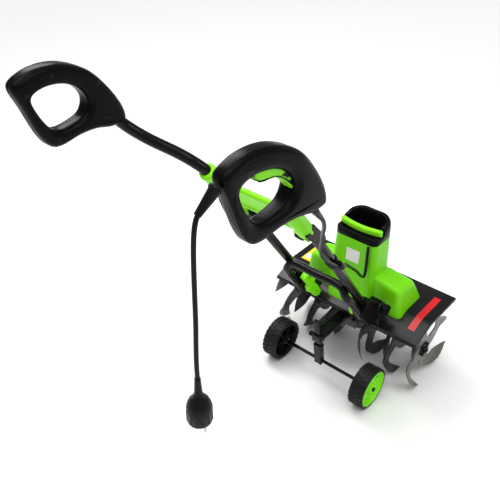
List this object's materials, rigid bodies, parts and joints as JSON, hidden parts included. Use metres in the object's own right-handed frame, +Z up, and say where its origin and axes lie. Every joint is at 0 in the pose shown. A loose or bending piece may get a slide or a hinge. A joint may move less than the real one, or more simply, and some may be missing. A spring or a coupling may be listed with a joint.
{
  "type": "tiller",
  "caption": "Corded electric garden tiller: lime motor body on a black hood over bent-blade tine stars, rear transport wheels, folding tubular handle with loop grips, cord with plug.",
  "frame": {"origin": "on the ground, under the centre of the machine without its mains cord", "axes": "+Z up, +Y forward to the hood's front edge, +X to the user's right as they stand behind the handles"},
  "size_m": [0.4752, 0.9498, 0.9601],
  "materials": {
    "lime_plastic": "satin moulded, fine grain",
    "bright_lime_plastic": "smooth moulded",
    "black_plastic": "satin grained",
    "black_tube_paint": "gloss powder coat",
    "hood_black": "satin powder coat",
    "tine_steel": "grey coated, semi-gloss",
    "bright_steel": "machined",
    "gear_case_alloy": "die cast",
    "rubber": "matt",
    "wheel_black": "matt moulded tread",
    "copper_winding": "varnished windings",
    "gear_nylon": "natural",
    "motor_steel": "zinc plated"
  },
  "bodies": {
    "chassis": {"hood": "hood_black", "motor_housing": "lime_plastic", "motor_cap": "black_plastic", "carry_grip": "bright_lime_plastic", "motor_can": "motor_steel", "lower_bearing": "bright_steel", "upper_bearing": "bright_steel", "gear_case_left": "gear_case_alloy", "gear_case_right": "gear_case_alloy", "shaft_bush_left": "copper_winding", "shaft_bush_right": "copper_winding", "strut_clamp": "black_tube_paint"},
    "armature": {"armature_core": "copper_winding", "cooling_fan": "black_plastic", "worm_shaft": "bright_steel"},
    "tine_rotor": {"tine_shaft": "bright_steel", "worm_wheel": "gear_nylon", "end_flange_left": "black_tube_paint", "end_flange_right": "black_tube_paint", "tine_star_left_1": "tine_steel", "tine_star_left_2": "tine_steel", "tine_star_left_3": "tine_steel", "tine_star_right_1": "tine_steel", "tine_star_right_2": "tine_steel", "tine_star_right_3": "tine_steel"},
    "wheel_bracket": {"wheel_strut": "black_tube_paint", "axle": "black_tube_paint"},
    "height_pin": {"lock_pin": "black_tube_paint"},
    "wheel_right_body": {"wheel_right": "wheel_black", "wheel_cover_right": "bright_lime_plastic"},
    "wheel_left_body": {"wheel_left": "wheel_black", "wheel_cover_left": "bright_lime_plastic"},
    "lower_frame": {"foot_socket_left": "black_plastic", "foot_socket_right": "black_plastic", "foot_clip_left": "bright_lime_plastic", "foot_clip_right": "bright_lime_plastic", "lower_tube_left": "black_tube_paint", "lower_tube_right": "black_tube_paint", "hoop": "black_tube_paint", "cable_clip": "black_plastic", "motor_cable_lower": "rubber"},
    "tilt_knob_right_body": {"tilt_knob_right": "black_plastic"},
    "tilt_knob_left_body": {"tilt_knob_left": "black_plastic"},
    "upper_handle": {"fold_brace": "bright_lime_plastic", "upper_tube_left": "black_tube_paint", "upper_tube_right": "black_tube_paint", "handle_left_inner": "black_plastic", "handle_left_outer": "black_plastic", "handle_right_inner": "black_plastic", "handle_right_outer": "black_plastic", "switch_module": "black_plastic", "mains_relief": "rubber", "cable_relief": "rubber", "mains_cord": "rubber", "mains_plug": "rubber", "motor_cable_upper": "rubber"},
    "fold_knob_right_body": {"fold_knob_right": "black_plastic"},
    "fold_knob_left_body": {"fold_knob_left": "black_plastic"},
    "trigger_body": {"trigger": "bright_lime_plastic"},
    "lock_button_body": {"lock_button": "bright_lime_plastic"}
  },
  "joints": [
    {"name": "tine_spin", "type": "hinge", "parent": "chassis", "child": "tine_rotor", "pos_m": [0, 0.3305, 0.1005], "axis": [1, 0, 0], "continuous": true},
    {"name": "armature_spin", "type": "hinge", "parent": "chassis", "child": "armature", "pos_m": [0, 0.3045, 0.1005], "axis": [0, 0, 1], "continuous": true},
    {"name": "strut_height", "type": "slide", "parent": "chassis", "child": "wheel_bracket", "axis": [0, -0.1483, 0.9889], "range_m": [-0.04, 0.012]},
    {"name": "lock_pin_pull", "type": "slide", "parent": "chassis", "child": "height_pin", "axis": [-1, 0, 0], "range_m": [0, 0.012], "stiffness_N_per_m": 150, "springref_m": -0.01},
    {"name": "wheel_right_spin", "type": "hinge", "parent": "wheel_bracket", "child": "wheel_right_body", "pos_m": [0.137, 0.1645, 0.0556], "axis": [1, 0, 0], "continuous": true},
    {"name": "wheel_left_spin", "type": "hinge", "parent": "wheel_bracket", "child": "wheel_left_body", "pos_m": [-0.137, 0.1645, 0.0556], "axis": [1, 0, 0], "continuous": true},
    {"name": "handle_tilt", "type": "hinge", "parent": "chassis", "child": "lower_frame", "pos_m": [0, 0.2445, 0.244], "axis": [1, 0, 0], "range_deg": [-40, 15], "deforming": ["motor_cable_lower"]},
    {"name": "tilt_knob_right_turn", "type": "hinge", "parent": "lower_frame", "child": "tilt_knob_right_body", "pos_m": [0.118, 0.2445, 0.244], "axis": [1, 0, 0], "continuous": true},
    {"name": "tilt_knob_left_turn", "type": "hinge", "parent": "lower_frame", "child": "tilt_knob_left_body", "pos_m": [-0.118, 0.2445, 0.244], "axis": [1, 0, 0], "continuous": true},
    {"name": "handle_fold", "type": "hinge", "parent": "lower_frame", "child": "upper_handle", "pos_m": [0, -0.038, 0.5914], "axis": [1, 0, 0], "range_deg": [-130, 0], "deforming": ["motor_cable_upper"]},
    {"name": "fold_knob_right_turn", "type": "hinge", "parent": "upper_handle", "child": "fold_knob_right_body", "pos_m": [0.058, -0.038, 0.5914], "axis": [1, 0, 0], "continuous": true},
    {"name": "fold_knob_left_turn", "type": "hinge", "parent": "upper_handle", "child": "fold_knob_left_body", "pos_m": [-0.058, -0.038, 0.5914], "axis": [1, 0, 0], "continuous": true},
    {"name": "trigger_squeeze", "type": "hinge", "parent": "upper_handle", "child": "trigger_body", "pos_m": [0.2176, -0.3735, 0.922], "axis": [1, 0, 0], "range_deg": [0, 6], "stiffness_Nm_per_rad": 1.2, "springref_deg": -8.59},
    {"name": "lock_button_press", "type": "slide", "parent": "upper_handle", "child": "lock_button_body", "axis": [1, 0, 0], "range_m": [0, 0.003], "stiffness_N_per_m": 700, "springref_m": -0.002}
  ],
  "couplings": [
    {"joint": "armature_spin", "follows": "tine_spin", "ratio": 40}
  ]
}
